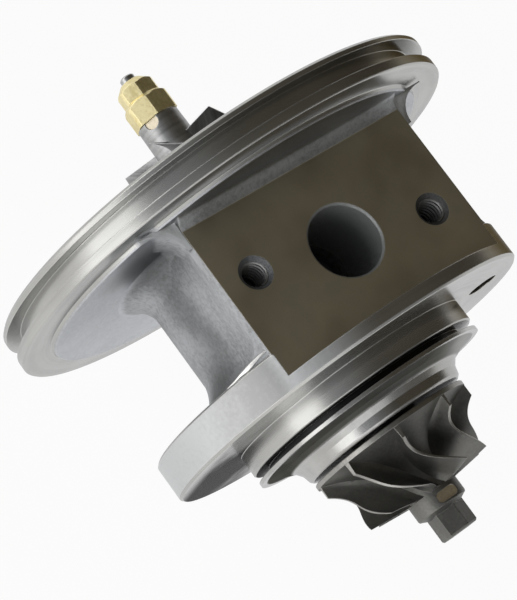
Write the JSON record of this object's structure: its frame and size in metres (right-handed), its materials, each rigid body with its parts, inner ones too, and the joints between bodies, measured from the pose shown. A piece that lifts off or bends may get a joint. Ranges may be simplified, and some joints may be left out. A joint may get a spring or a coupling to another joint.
{
  "type": "turbo cartridge",
  "caption": "Turbocharger centre cartridge: grooved disc, cast neck with milled drain pad, round turbine flange, heat shield, bladed wheels on one shaft in floating bushes.",
  "frame": {"origin": "on the shaft axis, in the turbine-side face of the turbine flange", "axes": "+X along the shaft from the compressor to the turbine, +Z along the drain pad's outward normal, +Y completes a right-handed frame"},
  "size_m": [0.1114, 0.1, 0.1],
  "materials": {
    "housing_iron": "cast with turned and milled faces",
    "shaft_steel": "ground",
    "turbine_alloy": "dark cast",
    "compressor_alloy": "cast",
    "nut_brass": "passivated",
    "bearing_bronze": "turned",
    "spring_steel": "oiled",
    "sheet_steel": "pressed and bright",
    "plate_steel": "turned",
    "seal_rubber": "matt",
    "ring_iron": "ground"
  },
  "bodies": {
    "housing": {"bearing_housing": "housing_iron", "bush_circlips": "spring_steel", "thrust_bearing": "bearing_bronze", "thrust_pins": "spring_steel", "oil_baffle": "sheet_steel", "seal_plate": "plate_steel", "seal_plate_oring": "seal_rubber", "seal_plate_circlip": "spring_steel", "compressor_piston_ring": "ring_iron", "turbine_piston_rings": "ring_iron", "heat_shield": "sheet_steel"},
    "rotor": {"rotor_shaft": "shaft_steel", "turbine_wheel": "turbine_alloy", "compressor_wheel": "compressor_alloy", "compressor_nut": "nut_brass", "thrust_washer": "shaft_steel", "thrust_collar": "shaft_steel", "oil_flinger": "shaft_steel"},
    "floating_bush_compressor": {"bush_compressor": "bearing_bronze"},
    "floating_bush_turbine": {"bush_turbine": "bearing_bronze"}
  },
  "joints": [
    {"name": "rotor_spin", "type": "hinge", "parent": "housing", "child": "rotor", "pos_m": [0, 0, 0], "axis": [1, 0, 0], "continuous": true},
    {"name": "bush_compressor_spin", "type": "hinge", "parent": "housing", "child": "floating_bush_compressor", "pos_m": [-0.0266, 0, 0], "axis": [1, 0, 0], "continuous": true},
    {"name": "bush_turbine_spin", "type": "hinge", "parent": "housing", "child": "floating_bush_turbine", "pos_m": [-0.0035, 0, 0], "axis": [1, 0, 0], "continuous": true}
  ]
}
